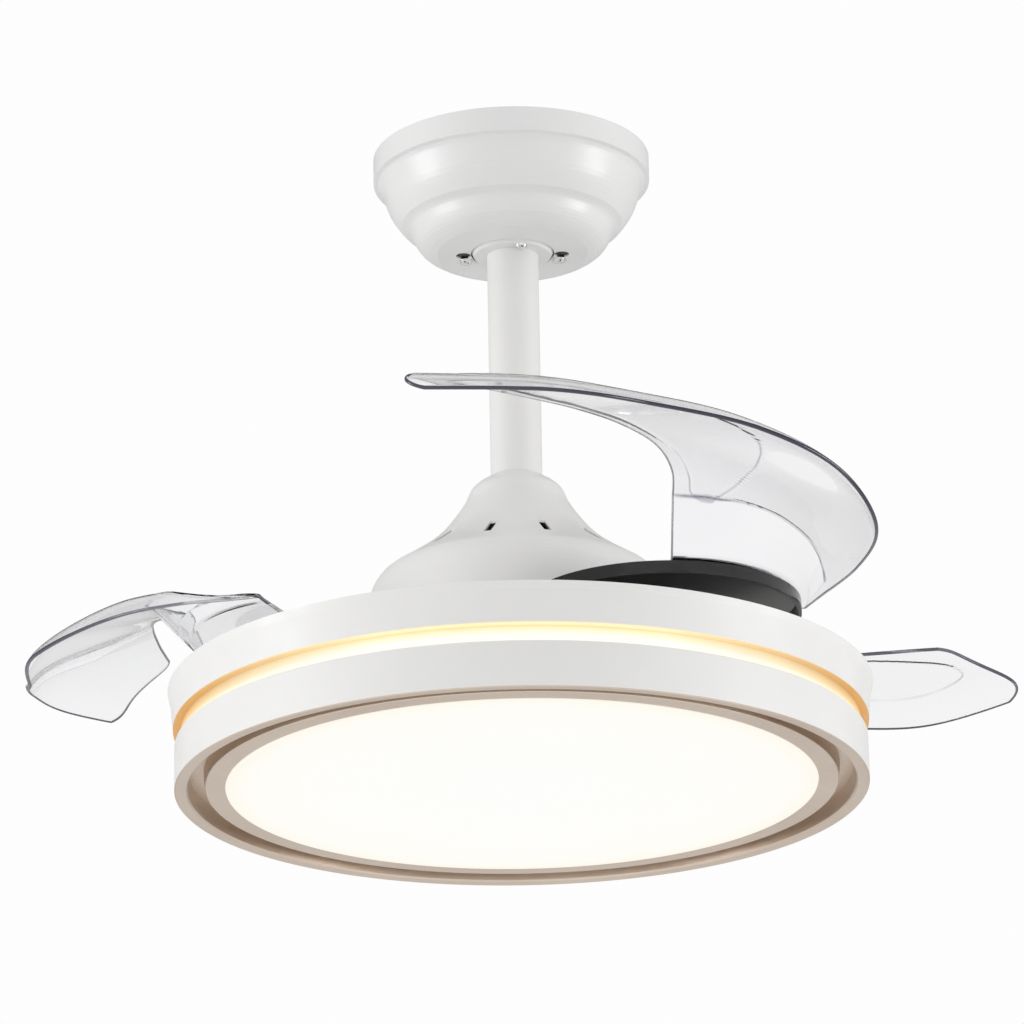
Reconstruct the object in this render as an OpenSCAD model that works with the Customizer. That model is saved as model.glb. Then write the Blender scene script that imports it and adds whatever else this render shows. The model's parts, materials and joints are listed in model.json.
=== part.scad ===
// Ceiling fan with a round light drum and three clear blades that fold in over it.
// Millimetres. The origin is the middle of the ceiling plane, +Z is up, and the
// viewer in front of the fan stands on the -Y side. Everything hangs below Z = 0.

/* [Canopy and hanger] */
// Distance from the ceiling to the underside of the light drum
drop = 491; // [470:1:800]
// Diameter of the canopy at the ceiling
canopy_d = 205.4; // [195:0.2:230]
// Height of the canopy
canopy_h = 75.3; // [74:0.1:85]
// Wall thickness of the canopy
canopy_wall = 1.2; // [0.8:0.1:1.8]
// Diameter of the opening under the canopy
canopy_hole_d = 62; // [60.6:0.2:63]
// Width of the hanger bracket's ceiling plate
bracket_l = 150; // [140:1:170]
// Depth of the hanger bracket's ceiling plate
bracket_w = 40; // [34:1:50]
// Thickness of the bracket steel
bracket_t = 2.5; // [2:0.1:3]
// Distance between the two ceiling screws
ceiling_pitch = 90; // [88:1:92]
// Width of the slotted ceiling holes
ceiling_slot_w = 5.5; // [4.5:0.1:6.5]
// Length of the slotted ceiling holes
ceiling_slot_l = 18; // [12:0.5:20]
// Diameter of the hanger ball
ball_d = 68; // [66:0.2:69]
// How far the ball's centre sits above the canopy's underside
ball_lift = 17; // [15:0.5:19]

/* [Downrod and coupling] */
// Outside diameter of the downrod
rod_d = 38; // [34:0.2:39]
// Wall of the downrod tube
rod_wall = 2; // [1.5:0.1:3]
// Outside diameter of the coupling under the rod
coupling_d = 48; // [46:0.5:52]
// Length of the coupling
coupling_h = 36; // [32:0.5:40]
// Depth of the rod's seat in the coupling
rod_seat = 24; // [20:0.5:26]
// Diameter of the clevis pins through rod, ball and coupling
pin_d = 6; // [5:0.1:7]

/* [Bell cover] */
// Wall of the bell cover
bell_wall = 1.6; // [1:0.1:2.2]
// Number of cooling slots
vents = 12; // [6:1:18]
// Width of a cooling slot
vent_w = 5.5; // [3:0.1:8]

/* [Motor] */
// Outside diameter of the hollow motor shaft
shaft_d = 22; // [18:0.2:24]
// Bore of the hollow motor shaft
shaft_bore = 12; // [8:0.2:14]
// Outside diameter of the motor's bearings
bearing_d = 38; // [34:0.2:42]
// Height of a bearing
bearing_h = 10; // [8:0.2:12]
// Outside diameter of the turning motor casing
motor_d = 139; // [130:1:146]
// Height of the turning motor casing
motor_h = 55.6; // [50:0.2:58]
// Wall of the motor casing
motor_wall = 3.5; // [2.5:0.1:5]
// Gap between stator and magnets
air_gap = 0.8; // [0.5:0.1:1.2]
// Number of stator teeth and coils
teeth = 12; // [9:3:15]

/* [Blade tray] */
// Distance from the fan's axis to a blade's pivot
pivot_ring = 145; // [142:1:150]
// Radius of the tray's first lobe, the one at the front right
lobe_r = 99.5; // [90:0.5:104]
// Radius of its two other lobes
small_lobe_r = 64; // [62:0.5:80]
// Height of the tray with its turned-down rim
tray_h = 9.2; // [7:0.1:12]
// Thickness of the tray sheet
tray_t = 3; // [2:0.1:4]
// Clear height between the light drum's rim and the tray
tray_gap = 20.5; // [14:0.5:30]
// Diameter of a blade's pivot post
post_d = 12; // [10:0.2:14]

/* [Blades] */
// Reach of a blade from its root step to its tip
blade_reach = 270; // [240:1:290]
// Thickness of a blade
blade_t = 3; // [2.4:0.1:3.6]
// Radius of the foot of the step between a blade's root pad and its wing
step_r = 98; // [96:0.5:100]
// Width of that step's slope
step_w = 19; // [14:0.5:24]
// Rise of the wing's hollow above a straight line from edge to edge
camber = 12; // [6:0.5:14]
// Swing of the first blade as drawn, from the middle of its travel's open end
swing_1 = 0; // [-10:1:20]
// Swing of the second blade as drawn
swing_2 = -5; // [-10:1:20]
// Swing of the third blade as drawn
swing_3 = 19; // [-10:1:20]
// Furthest swing outwards
swing_out = 20; // [20:1:22]
// Swing inwards, to the folded place
swing_in = -85; // [-86:1:-80]

/* [Return springs] */
// Wire diameter of a return spring
wire_d = 2; // [1.4:0.1:2.2]
// Pitch of a return spring's curls
spring_pitch = 2.6; // [2.6:0.05:2.8]
// Curls in a return spring
spring_turns = 4; // [3:0.5:4]

/* [Light drum] */
// Outside diameter of the lower white band
drum_d = 500; // [490:1:520]
// Height of the lower white band
band_h = 33.2; // [28:0.2:45]
// Height of the glowing gap between the bands
glow_h = 12.3; // [10:0.1:18]
// Height of the upper white band
pan_h = 29.3; // [26:0.1:40]
// How much wider the upper band is at its rim
pan_flare = 4; // [3:0.5:12]
// Sheet thickness of the white bands
sheet = 1.5; // [1:0.1:2]
// Width of the metal ring from the drum's edge in to the diffuser
diffuser_inset = 35.5; // [30:0.5:42]
// Thickness of the diffuser
diffuser_t = 2.4; // [2:0.1:4]
// Width of the flat trim ring beside the diffuser
trim_w = 13.5; // [8:0.5:16]
// Depth of the groove between trim ring and rim
groove_h = 15; // [8:0.5:20]
// Number of lamps on the board
chips = 36; // [12:3:48]

/* [Hidden] */

$fn = 96;

// Clearances
fit = 0.05;        // running or slip fit, on the radius
play = 0.1;        // between flat faces that turn against each other
ball_fit = 0.08;   // hanger ball in its seat
free = 0.5;        // loose holes and slots

// Heights of the stack, from the drum's underside up
z_drum = -drop;
z_band = z_drum + band_h;
z_glow = z_band + glow_h;
z_rim = z_glow + pan_h;
z_tray_low = z_rim + tray_gap;
z_tray = z_tray_low + tray_h;          // top face of the tray
z_motor = z_tray + motor_h;            // top face of the motor casing
z_ball = -canopy_h + ball_lift;        // centre of the hanger ball

// Drum
drum_r = drum_d / 2;
glow_recess = 4.5;
glow_w = 10;
screw_circle = drum_r - glow_recess - glow_w - 9; // drum screws and spacers
rim_w = 9.5;                           // champagne rim round the underside
trim_z = z_drum + 3;                   // underside of the trim ring beside the diffuser
diffuser_r = drum_r - diffuser_inset;
trim_r = diffuser_r + trim_w;          // outside of the flat ring, inside of the groove
groove_r = drum_r - sheet - rim_w + 1.5;
board_r = diffuser_r - 10;
board_t = 1.6;
carrier_t = 2;
deck_drop = 6;                         // upper deck below the rim
driver_l = drum_d * 0.26;
driver_w = drum_d * 0.128;
driver_mid = drum_d * 0.24;            // middle of the driver's box from the axis

// Hanger
ball_r = ball_d / 2;
seat_r = ball_r + ball_fit;
z_plate_low = -canopy_h + canopy_wall; // underside of the bracket's lower plate
canopy_curve_h = 75.3;                 // height that the canopy's curve points are given for
bracket_arm_x = canopy_d / 2 - 54.7;   // the lower plate fits in the canopy's end
bracket_arm_w = 16;
seat_cup_r = ball_r + 7;
seat_cup_h = 11;
screw_ring = 36.5;                     // canopy screws from the axis
screw_turn = 19;                       // their turn away from the X axis
canopy_screw_r = 2.5;
canopy_head_r = 5;
rod_r = rod_d / 2;
rod_top = z_ball + 26;
ball_top = z_ball + 24;
ball_low = -canopy_h - 2;              // flat underside of the ball
hanger_pin_z = z_ball + 14;
pin_r = pin_d / 2;
lug_w = 5;                             // bracket lug in the ball's groove
lug_in = 3;                            // how far it reaches into the ball

// Bell: radius and height above the tray, from the neck down to the skirt
bell_rise = 134.6;
bell_curve = [
  [27.6, 129.6], [33.9, 123.6], [38.3, 113.6], [46.1, 101.6], [55.6, 89.6],
  [66.1, 79.6], [79.6, 69.6], [91.8, 61.6], [101.4, 55], [107.5, 45], [110, 32], [110.5, 14]
];
vent_in = 65.4;
vent_out = 84.7;
collar_h = 5;
z_coupling = z_tray + bell_rise - 9;   // top face of the coupling, under the bell's collar
z_coupling_low = z_coupling - coupling_h;
z_rod_low = z_coupling - rod_seat;
coupling_r = coupling_d / 2;
coupling_pin_z = z_coupling - 12;

// Motor
shaft_r = shaft_d / 2;
shaft_top = z_rod_low - 0.5;
z_nut_low = z_glow - carrier_t - 9;
bearing_r = bearing_d / 2;
motor_r = motor_d / 2;
motor_in = motor_r - motor_wall;
motor_flange_r = motor_r + 7.5;
flange_screws = motor_r + 3.8;         // screw circle of that flange
tray_screw_circle = motor_r - 20;
z_split = z_tray + motor_h / 2;
z_bearing_low = z_tray + motor_wall + play;
z_bearing_up = z_motor - motor_wall - play - bearing_h;
core_low = z_bearing_low + bearing_h + 6;
core_top = z_bearing_up - 6;
magnet_t = 5.5;
magnet_in = motor_in - fit - magnet_t;
core_r = magnet_in - air_gap;

// Pivots
post_r = post_d / 2;
bush_t = 2;
bush_r = post_r + fit + bush_t;
washer_t = 0.8;
pad_t = 4;
z_pad = z_tray + washer_t;
boss_h = 16;
boss_r = bush_r + fit + 5;
z_boss = z_pad + boss_h;
z_post = z_boss + 1 + play;            // the bush's flange is 1 thick
cap_t = 2;
spring_r = boss_r + 3 + wire_d / 2;
cap_r = spring_r + wire_d / 2 + 1;
pad_r = 60;
root_r = step_r + 7;                    // where the wing's edges start
stop_ring = 42;
stop_r = 3;
stop_turn = 150;                       // the stop pin's place round the pivot
first_lobe = -46;                      // direction of the first lobe, front right
lobe_turns = [first_lobe, first_lobe - 120, first_lobe + 120];
lobe_radii = [lobe_r, small_lobe_r, small_lobe_r];
hub_inset = 30;                        // middle of the tray, inside the pivots
swings = [swing_1, swing_2, swing_3];

// Wing outlines round the pivot: share of the reach, direction and height above
// the tray, from the root step to the tip
wing_outer = [
  [0, 12, 3.6], [0.175, -26, 2.8], [0.365, -44, 8], [0.475, -59.5, 28.5],
  [0.55, -75.5, 42.5], [0.655, -90.5, 46.5], [0.86, -103.5, 42.5], [1, -119, 45.5]
];
wing_inner = [
  [0, -87, 36.8], [0.125, -87.5, 51], [0.24, -92, 61], [0.335, -99, 68],
  [0.42, -106, 73], [0.51, -111.5, 75], [0.62, -116, 75.5], [0.74, -120, 75]
];
// The second blade is slimmer near its root and its outer edge rises later
slim_outer = [
  [0, 12, 3.6], [0.16, -36, 6.5], [0.42, -68, 8], [0.59, -87, 13.5],
  [0.735, -95.5, 31], [0.85, -101.5, 39.5], [0.93, -108.5, 41], [0.965, -118, 41]
];
slim_inner = [
  [0, -87, 36], [0.095, -90.5, 46.5], [0.21, -95.2, 54], [0.31, -101, 61],
  [0.405, -106.5, 67], [0.495, -111, 70.5], [0.6, -115.5, 72], [0.72, -120, 72]
];
wing_rows = 26;
wing_cols = 10;
edge_round = 0.035;                    // rounds the corners of the tip
edge_hollow = 0.012;                   // hollows the tip's end

// Colours
white_metal = [0.93, 0.93, 0.92];
white_gloss = [0.96, 0.96, 0.95];
champagne = [0.72, 0.66, 0.60];
black = [0.05, 0.05, 0.055];
chrome = [0.8, 0.8, 0.82];
steel = [0.62, 0.63, 0.65];
alu = [0.75, 0.76, 0.78];
copper = [0.72, 0.43, 0.2];
bronze = [0.6, 0.45, 0.25];
warm_white = [1, 0.98, 0.9];
clear_blade = [0.86, 0.87, 0.9, 0.35];

// ---------- helpers ----------

function unit(v) = v / max(norm(v), 1e-9);

// A smooth curve through points: place u runs from 0 to 1 over all of them
function bend(a, b, c, d, t) =
  0.5 * (2 * b + (c - a) * t + (2 * a - 5 * b + 4 * c - d) * t * t
         + (3 * b - a - 3 * c + d) * t * t * t);
function curve_at(points, u) =
  let (last = len(points) - 1, k = min(floor(u * last), last - 1))
  bend(points[max(k - 1, 0)], points[k], points[k + 1], points[min(k + 2, last)], u * last - k);
function curve(points, steps) = [for (i = [0 : steps]) curve_at(points, i / steps)];

// The same open outline moved sideways by a wall
function side_of(points, i) =
  let (a = points[max(i - 1, 0)], b = points[min(i + 1, len(points) - 1)], d = unit(b - a))
  [d[1], -d[0]];
function inset(points, wall) =
  [for (i = [0 : len(points) - 1]) points[i] + wall * side_of(points, i)];
function turned_back(points) = [for (i = [len(points) - 1 : -1 : 0]) points[i]];

module ring(r_out, r_in, z, h) {
  translate([0, 0, z]) difference() {
    cylinder(r = r_out, h = h);
    translate([0, 0, -1]) cylinder(r = r_in, h = h + 2);
  }
}

module disc(r, z, h) {
  translate([0, 0, z]) cylinder(r = r, h = h);
}

module around(count, radius, first = 0) {
  for (i = [0 : count - 1])
    rotate([0, 0, first + 360 * i / count]) translate([radius, 0, 0]) children();
}

// Button head with its shank below it
module screw(head_r, head_h, shank_r, shank_l) {
  rotate_extrude($fn = 32) polygon(concat(
    [[0, -shank_l], [shank_r, -shank_l], [shank_r, 0], [head_r, 0]],
    [for (a = [15 : 15 : 90]) [head_r * cos(a), head_h * sin(a)]]));
}

// Closed tube along points that never run straight up
function ring_at(points, i, r, sides) =
  let (a = points[max(i - 1, 0)], b = points[min(i + 1, len(points) - 1)],
       along = unit(b - a), across = unit(cross(along, [0, 0, 1])), up = cross(across, along))
  [for (k = [0 : sides - 1])
    points[i] + r * (cos(360 * k / sides) * across + sin(360 * k / sides) * up)];
module tube(points, r, sides = 6) {
  n = len(points);
  rings = [for (i = [0 : n - 1]) each ring_at(points, i, r, sides)];
  walls = [for (i = [0 : n - 2], k = [0 : sides - 1])
    let (a = i * sides + k, b = i * sides + (k + 1) % sides)
    each [[a, b, b + sides], [a, b + sides, a + sides]]];
  start_cap = [for (k = [1 : sides - 2]) [0, k + 1, k]];
  end_cap = [for (k = [1 : sides - 2])
    [(n - 1) * sides, (n - 1) * sides + k, (n - 1) * sides + k + 1]];
  polyhedron(rings, concat(walls, start_cap, end_cap));
}

// ---------- ceiling side ----------

module slot_hole(l, w, z, h) {
  for (s = [-1, 1]) translate([s * (l - w) / 2, 0, z]) cylinder(r = w / 2, h = h);
  translate([-(l - w) / 2, -w / 2, z]) cube([l - w, w, h]);
}

module hanger_bracket() color(steel) {
  arm_h = -z_plate_low - bracket_t;
  difference() {
    union() {
      translate([-bracket_l / 2, -bracket_w / 2, -bracket_t]) cube([bracket_l, bracket_w, bracket_t]);
      for (s = [-1, 1])
        translate([s * bracket_arm_x - bracket_t / 2, -bracket_arm_w / 2, z_plate_low])
          cube([bracket_t, bracket_arm_w, arm_h]);
      disc(bracket_arm_x + 5, z_plate_low, bracket_t);
      disc(seat_cup_r, z_plate_low, seat_cup_h);
    }
    translate([0, 0, z_ball]) sphere(r = seat_r);
    translate([0, 0, z_plate_low - 1]) cylinder(r = canopy_hole_d / 2, h = 2);
    for (s = [-1, 1])
      translate([s * ceiling_pitch / 2, 0, 0]) slot_hole(ceiling_slot_l, ceiling_slot_w, -bracket_t - 1, bracket_t + 2);
    canopy_screw_places() translate([0, 0, -1]) cylinder(r = canopy_screw_r + fit, h = 10, $fn = 32);
  }
  translate([-lug_w / 2, seat_r - lug_in, z_plate_low + 2])
    cube([lug_w, lug_in + seat_cup_r - seat_r - 1, seat_cup_h - 2]);
}

module canopy_screw_places() {
  for (side = [0, 1])
    mirror([side, 0, 0]) rotate([0, 0, screw_turn]) translate([screw_ring, 0, z_plate_low]) children();
}

module remote_receiver() color(white_gloss) {
  l = 2 * bracket_arm_x - bracket_t - 6;
  h = 17;
  translate([-l / 2, -19, -bracket_t - h]) cube([l, 38, h]);
  for (y = [-10, 0, 10])
    translate([l / 2 - 4, y, -bracket_t - h - 2]) cylinder(r = 2, h = 2.5, $fn = 24);
}

module terminal_block() color(white_metal) {
  x = bracket_arm_x + bracket_t / 2 + 1.5;
  w = 12;
  difference() {
    translate([x, -15, -bracket_t - 13]) cube([w, 30, 13]);
    for (y = [-9, 0, 9])
      translate([x + w / 2, y, -bracket_t - 14]) cylinder(r = 2.2, h = 7, $fn = 24);
  }
}

// Radius and height of the canopy's outside, from the ceiling down
function canopy_outline() =
  let (r = canopy_d / 2, s = canopy_h - canopy_curve_h)
  concat(
    [[r, 0], [r, -18.5]],
    curve([[r - 3.2, -19.6], [r - 5.4, -22.5], [r - 7.4, -28], [r - 10.9, -38],
           [r - 15.7, -46 - s], [r - 20.9, -52.6 - s]], 12),
    curve([[r - 24.6, -54.4 - s], [r - 27, -56.2 - s], [r - 28.4, -59 - s], [r - 30.2, -63.5 - s],
           [r - 34.2, -69 - s], [r - 40.5, -73.2 - s], [r - 47, -canopy_curve_h - s]], 14));

module canopy() color(white_gloss) {
  outside = concat(canopy_outline(), [[canopy_hole_d / 2, -canopy_h]]);
  n = len(outside) - 1;
  body = [for (i = [0 : n - 1]) outside[i]];
  inside = [for (p = inset(body, canopy_wall)) [p[0], min(p[1], 0)]];
  trimmed = concat([[inside[0][0], 0]], [for (i = [1 : n - 2]) inside[i]],
                   [[inside[n - 1][0], z_plate_low]], [[canopy_hole_d / 2, z_plate_low]]);
  difference() {
    rotate_extrude($fn = 128) polygon(concat(outside, turned_back(trimmed)));
    canopy_screw_places() {
      translate([0, 0, -canopy_wall - 1]) cylinder(r = canopy_screw_r + 0.3, h = canopy_wall + 2, $fn = 32);
    }
    canopy_keyholes();
  }
}

// Each screw hole runs on into a wide round opening on the near side
module canopy_keyholes() {
  for (side = [0, 1]) mirror([side, 0, 0]) {
    rotate([0, 0, screw_turn - 16])
      translate([screw_ring, 0, -canopy_h - 1]) cylinder(r = canopy_head_r + 0.6, h = canopy_wall + 2, $fn = 48);
    for (a = [3 : 3 : 13]) rotate([0, 0, screw_turn - a])
      translate([screw_ring, 0, -canopy_h - 1]) cylinder(r = canopy_screw_r + 0.3, h = canopy_wall + 2, $fn = 32);
  }
}

module canopy_screws() color(chrome) {
  canopy_screw_places() translate([0, 0, -canopy_wall]) mirror([0, 0, 1])
    screw(canopy_head_r, 3.6, canopy_screw_r, canopy_wall + 7);
}

// ---------- hanging side ----------

module hanger_ball() color(white_gloss) {
  difference() {
    intersection() {
      translate([0, 0, z_ball]) sphere(r = ball_r);
      disc(ball_r + 1, ball_low, ball_top - ball_low);
    }
    translate([0, 0, ball_low - 1]) cylinder(r = rod_r + fit, h = ball_top - ball_low + 2);
    translate([-ball_r, 0, hanger_pin_z]) rotate([0, 90, 0]) cylinder(r = pin_r + fit, h = 2 * ball_r, $fn = 32);
    translate([-lug_w / 2 - free, ball_r - lug_in - 3.5, ball_low - 1]) cube([lug_w + 2 * free, 20, ball_top - ball_low + 2]);
    ball_screw_place() translate([0, 0, -1]) cylinder(r = 2 + fit, h = 9, $fn = 24);
  }
}

module ball_screw_place() {
  rotate([0, 0, -74]) translate([(rod_r + ball_r * 0.82) / 2, 0, ball_low]) children();
}

module ball_screw() color(chrome) {
  ball_screw_place() mirror([0, 0, 1]) screw(4.4, 3.4, 2, 6);
}

module hanger_pin() color(steel) {
  l = 2 * sqrt(pow(ball_r, 2) - pow(hanger_pin_z - z_ball, 2)) - 4;
  translate([-l / 2, 0, hanger_pin_z]) rotate([0, 90, 0]) cylinder(r = pin_r, h = l, $fn = 32);
}

module downrod() color(white_metal) {
  difference() {
    ring(rod_r, rod_r - rod_wall, z_rod_low, rod_top - z_rod_low);
    for (z = [hanger_pin_z, coupling_pin_z])
      translate([-rod_r - 1, 0, z]) rotate([0, 90, 0]) cylinder(r = pin_r + fit, h = rod_d + 2, $fn = 32);
  }
}

module rod_coupling() color(steel) {
  difference() {
    disc(coupling_r, z_coupling_low, coupling_h);
    disc(rod_r + fit, z_rod_low, rod_seat + 1);
    disc(shaft_r + fit, z_coupling_low - 1, coupling_h);
    translate([-coupling_r - 1, 0, coupling_pin_z]) rotate([0, 90, 0])
      cylinder(r = pin_r + fit, h = coupling_d + 2, $fn = 32);
    for (s = [0, 180]) rotate([0, 0, s]) translate([0, 0, z_coupling_low + 6]) rotate([90, 0, 0])
      cylinder(r = 3 + fit, h = coupling_r + 1, $fn = 32);
  }
}

module coupling_pin() color(steel) {
  translate([-coupling_r - 1, 0, coupling_pin_z]) rotate([0, 90, 0]) {
    cylinder(r = pin_r, h = coupling_d + 5, $fn = 32);
    translate([0, 0, -2]) cylinder(r = pin_r + 2, h = 2, $fn = 32);
  }
}

module coupling_screws() color(steel) {
  for (s = [0, 180]) rotate([0, 0, s])
    translate([0, -shaft_r - fit, z_coupling_low + 6]) rotate([90, 0, 0])
      cylinder(r = 3, h = coupling_r - shaft_r + 2, $fn = 32);
}

module bell_cover() color(white_metal) {
  neck = rod_r + 0.4;
  outer = concat([[neck, z_tray + bell_rise]],
    [for (p = curve(bell_curve, 33)) [p[0], p[1] + z_tray]]);
  n = len(outer) - 1;
  inner = [for (p = inset(outer, bell_wall)) p];
  inside = concat([[neck, inner[0][1]]],
    [for (i = [1 : n - 1]) inner[i]], [[outer[n][0] - bell_wall, outer[n][1]]]);
  difference() {
    union() {
      rotate_extrude($fn = 128) polygon(concat(outer, turned_back(inside)));
      ring(neck + 6, neck, z_coupling, collar_h);
    }
    around(vents, 0, 180 / vents)
      translate([vent_in, -vent_w / 2, z_tray + 50]) cube([vent_out - vent_in, vent_w, 60]);
  }
}

module motor_shaft() color(steel) {
  ring(shaft_r, shaft_bore / 2, z_nut_low - 3, shaft_top - z_nut_low + 3);
}

module bearing(z) {
  race = (bearing_r - shaft_r) / 4;
  ring(bearing_r, bearing_r - race, z, bearing_h);
  ring(shaft_r + fit + race, shaft_r + fit, z, bearing_h);
  ring(bearing_r - race, shaft_r + fit + race, z + 1, bearing_h - 2);
}

module bearing_upper() color(steel) bearing(z_bearing_up);
module bearing_lower() color(steel) bearing(z_bearing_low);

tooth_w = 7;
module stator_core() color(steel) {
  ring(shaft_r + 5, shaft_r + fit, z_bearing_low + bearing_h, z_bearing_up - z_bearing_low - bearing_h);
  ring(shaft_r + 11, shaft_r + fit, core_low, core_top - core_low);
  around(teeth, 0) translate([shaft_r + 8, -tooth_w / 2, core_low])
    cube([core_r - shaft_r - 10, tooth_w, core_top - core_low]);
  shoe = 0.76 * 180 / teeth;
  around(teeth, 0) rotate([0, 0, -shoe]) translate([0, 0, core_low])
    rotate_extrude(angle = 2 * shoe) translate([core_r - 3.5, 0]) square([3.5, core_top - core_low]);
}

module stator_coils() color(copper) {
  coil_w = 3;
  inner = shaft_r + 16;
  outer = core_r - 5;
  around(teeth, inner) difference() {
    translate([0, -tooth_w / 2 - coil_w, core_low - coil_w])
      cube([outer - inner, tooth_w + 2 * coil_w, core_top - core_low + 2 * coil_w]);
    translate([-1, -tooth_w / 2, core_low]) cube([outer - inner + 2, tooth_w, core_top - core_low]);
  }
}

// ---------- light drum ----------

module carrier_plate() color(steel) {
  difference() {
    ring(drum_r - glow_recess - glow_w - 1, shaft_r + fit, z_glow - carrier_t, carrier_t);
    around(6, screw_circle, 30) disc(1.8, z_glow - carrier_t - 1, carrier_t + 2);
    around(6, screw_circle) disc(2.2, z_glow - carrier_t - 1, carrier_t + 2);
  }
}

module hex_nut(z) {
  difference() {
    translate([0, 0, z]) cylinder(r = shaft_r + 7, h = 9, $fn = 6);
    disc(shaft_r + fit, z - 1, 11);
  }
}

module lamp_nuts() color(steel) {
  hex_nut(z_nut_low);
  hex_nut(z_glow);
}

module upper_pan() color(white_metal) {
  top = drum_r + 1 + pan_flare;
  foot = drum_r + 1;
  bulge = pan_flare * 0.3;
  lip = 2;
  outside = [[foot, z_glow], [foot + bulge, z_glow + pan_h * 0.42], [top - 1.6, z_rim - 5.5],
             [top - 0.4, z_rim - 2], [top, z_rim]];
  inside = [[top - lip, z_rim], [top - sheet - 1.2, z_rim - 3], [top - sheet - 3, z_rim - deck_drop],
            [shaft_r + 12, z_rim - deck_drop], [shaft_r + 12, z_rim - deck_drop - sheet],
            [top - 2 * sheet - 3.6, z_rim - deck_drop - sheet],
            [foot + bulge - sheet, z_glow + pan_h * 0.4], [foot - sheet, z_glow]];
  difference() {
    union() {
      rotate_extrude($fn = 180) polygon(concat(outside, inside));
      around(6, screw_circle) disc(5, z_glow, pan_h - deck_drop - sheet / 2);
      ring(drum_r, drum_r - 9, z_glow, sheet);
    }
    around(6, screw_circle) disc(1.8, z_glow - 1, 9);
  }
}

module carrier_screws() color(steel) {
  around(6, screw_circle) translate([0, 0, z_glow - carrier_t]) mirror([0, 0, 1])
    screw(3.6, 2, 1.75, carrier_t + 7);
}

module led_driver() color(white_gloss) {
  tab = 12;
  translate([driver_mid - driver_l / 2, -driver_w / 2, z_glow])
    cube([driver_l, driver_w, pan_h - deck_drop - sheet - 3]);
  for (s = [-1, 1])
    translate([driver_mid + s * (driver_l + tab) / 2 - tab / 2, -5, z_glow]) cube([tab, 10, 1.2]);
}

module glow_ring() color(warm_white) {
  ring(drum_r - glow_recess, drum_r - glow_recess - glow_w, z_band, glow_h);
}

module glow_led_strip() color(warm_white) {
  ring(drum_r - glow_recess - glow_w - 0.5, drum_r - glow_recess - glow_w - 2, z_band, glow_h - carrier_t);
}

module lower_band() color(white_metal) {
  difference() {
    rotate_extrude($fn = 180) polygon([
      [drum_r, z_drum + 0.8], [drum_r, z_band - 0.6], [drum_r - 0.6, z_band], [shaft_r + 10, z_band],
      [shaft_r + 10, z_band - sheet], [drum_r - sheet, z_band - sheet], [drum_r - sheet, z_drum + 0.8]]);
    around(6, screw_circle, 30) disc(1.8, z_band - sheet - 1, sheet + 2);
  }
  // spacers between this band and the carrier above it
  around(6, screw_circle, 30) ring(4.5, 1.8, z_band - sheet, sheet + glow_h - carrier_t);
}

module band_screws() color(steel) {
  around(6, screw_circle, 30) translate([0, 0, z_band - sheet]) mirror([0, 0, 1])
    screw(3.6, 2, 1.75, sheet + glow_h);
}

module led_board() color(white_metal) {
  ring(board_r, shaft_r + 20, z_band - sheet - board_t, board_t);
}

module led_chips() color([1, 0.9, 0.5]) {
  for (k = [1 : 3])
    around(chips * k / 6, board_r * (k + 0.4) / 3.8)
      translate([-2.5, -2.5, z_band - sheet - board_t - 1]) cube([5, 5, 1]);
}

// One turned and anodised ring: rim, groove and the flat ring that holds the diffuser
module trim_ring() color(champagne) {
  t = 1.2;
  rotate_extrude($fn = 180) polygon([
    [drum_r - sheet - 0.05, z_drum + 5], [drum_r - sheet - 0.05, z_drum + 0.8], [drum_r, z_drum + 0.8],
    [drum_r - 0.8, z_drum], [groove_r + 1, z_drum + 0.6], [groove_r, z_drum + 1.8],
    [groove_r - 1, z_drum + groove_h], [trim_r + 1, z_drum + groove_h], [trim_r, trim_z + 0.6],
    [trim_r - 0.6, trim_z], [diffuser_r - 1, trim_z], [diffuser_r - 1, trim_z + t],
    [diffuser_r + 1.5, trim_z + t], [diffuser_r + 1.5, trim_z + 5], [diffuser_r + 3, trim_z + 5],
    [diffuser_r + 3, trim_z + t], [trim_r - t, trim_z + t + 0.4], [trim_r - 1, z_drum + groove_h + t],
    [groove_r + 0.4, z_drum + groove_h + t], [groove_r + 2, z_drum + 5]]);
}

module diffuser() color(warm_white) {
  disc(diffuser_r + 1, trim_z + 1.2, diffuser_t);
  disc(diffuser_r - 1.5, trim_z - 0.3, 1.5);
}

// ---------- turning side ----------

module rotor_upper_shell() color(alu) {
  wall = motor_wall;
  difference() {
    union() {
      disc(motor_r, z_split, z_motor - z_split);
      disc(motor_flange_r, z_split, 4);
    }
    disc(motor_in, z_split - 1, z_motor - z_split - wall + 1);
    disc(shaft_r + 3, z_split, motor_h);
    around(6, flange_screws) disc(1.8, z_split - 1, 6);
  }
  ring(bearing_r + 6, bearing_r + fit, z_bearing_up, bearing_h + play + 0.5);
}

module rotor_lower_shell() color(alu) {
  wall = motor_wall;
  difference() {
    union() {
      disc(motor_r, z_tray, z_split - z_tray);
      disc(motor_flange_r, z_split - 4, 4);
    }
    disc(motor_in, z_tray + wall, motor_h);
    disc(shaft_r + 3, z_tray - 1, motor_h);
    around(6, flange_screws) disc(1.8, z_split - 5, 6);
    around(6, tray_screw_circle, 30) disc(2.2, z_tray - 1, wall + 2);
  }
  ring(bearing_r + 6, bearing_r + fit, z_tray + wall - 0.5, bearing_h + play + 0.5);
}

module rotor_magnets() color([0.25, 0.25, 0.27]) {
  arc = 360 / teeth - 3;
  around(teeth, 0) translate([0, 0, core_low])
    rotate_extrude(angle = arc) translate([magnet_in, 0]) square([magnet_t, core_top - core_low]);
}

module rotor_screws() color(steel) {
  around(6, flange_screws) translate([0, 0, z_split + 4]) screw(3.2, 2, 1.75, 7.5);
}

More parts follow.
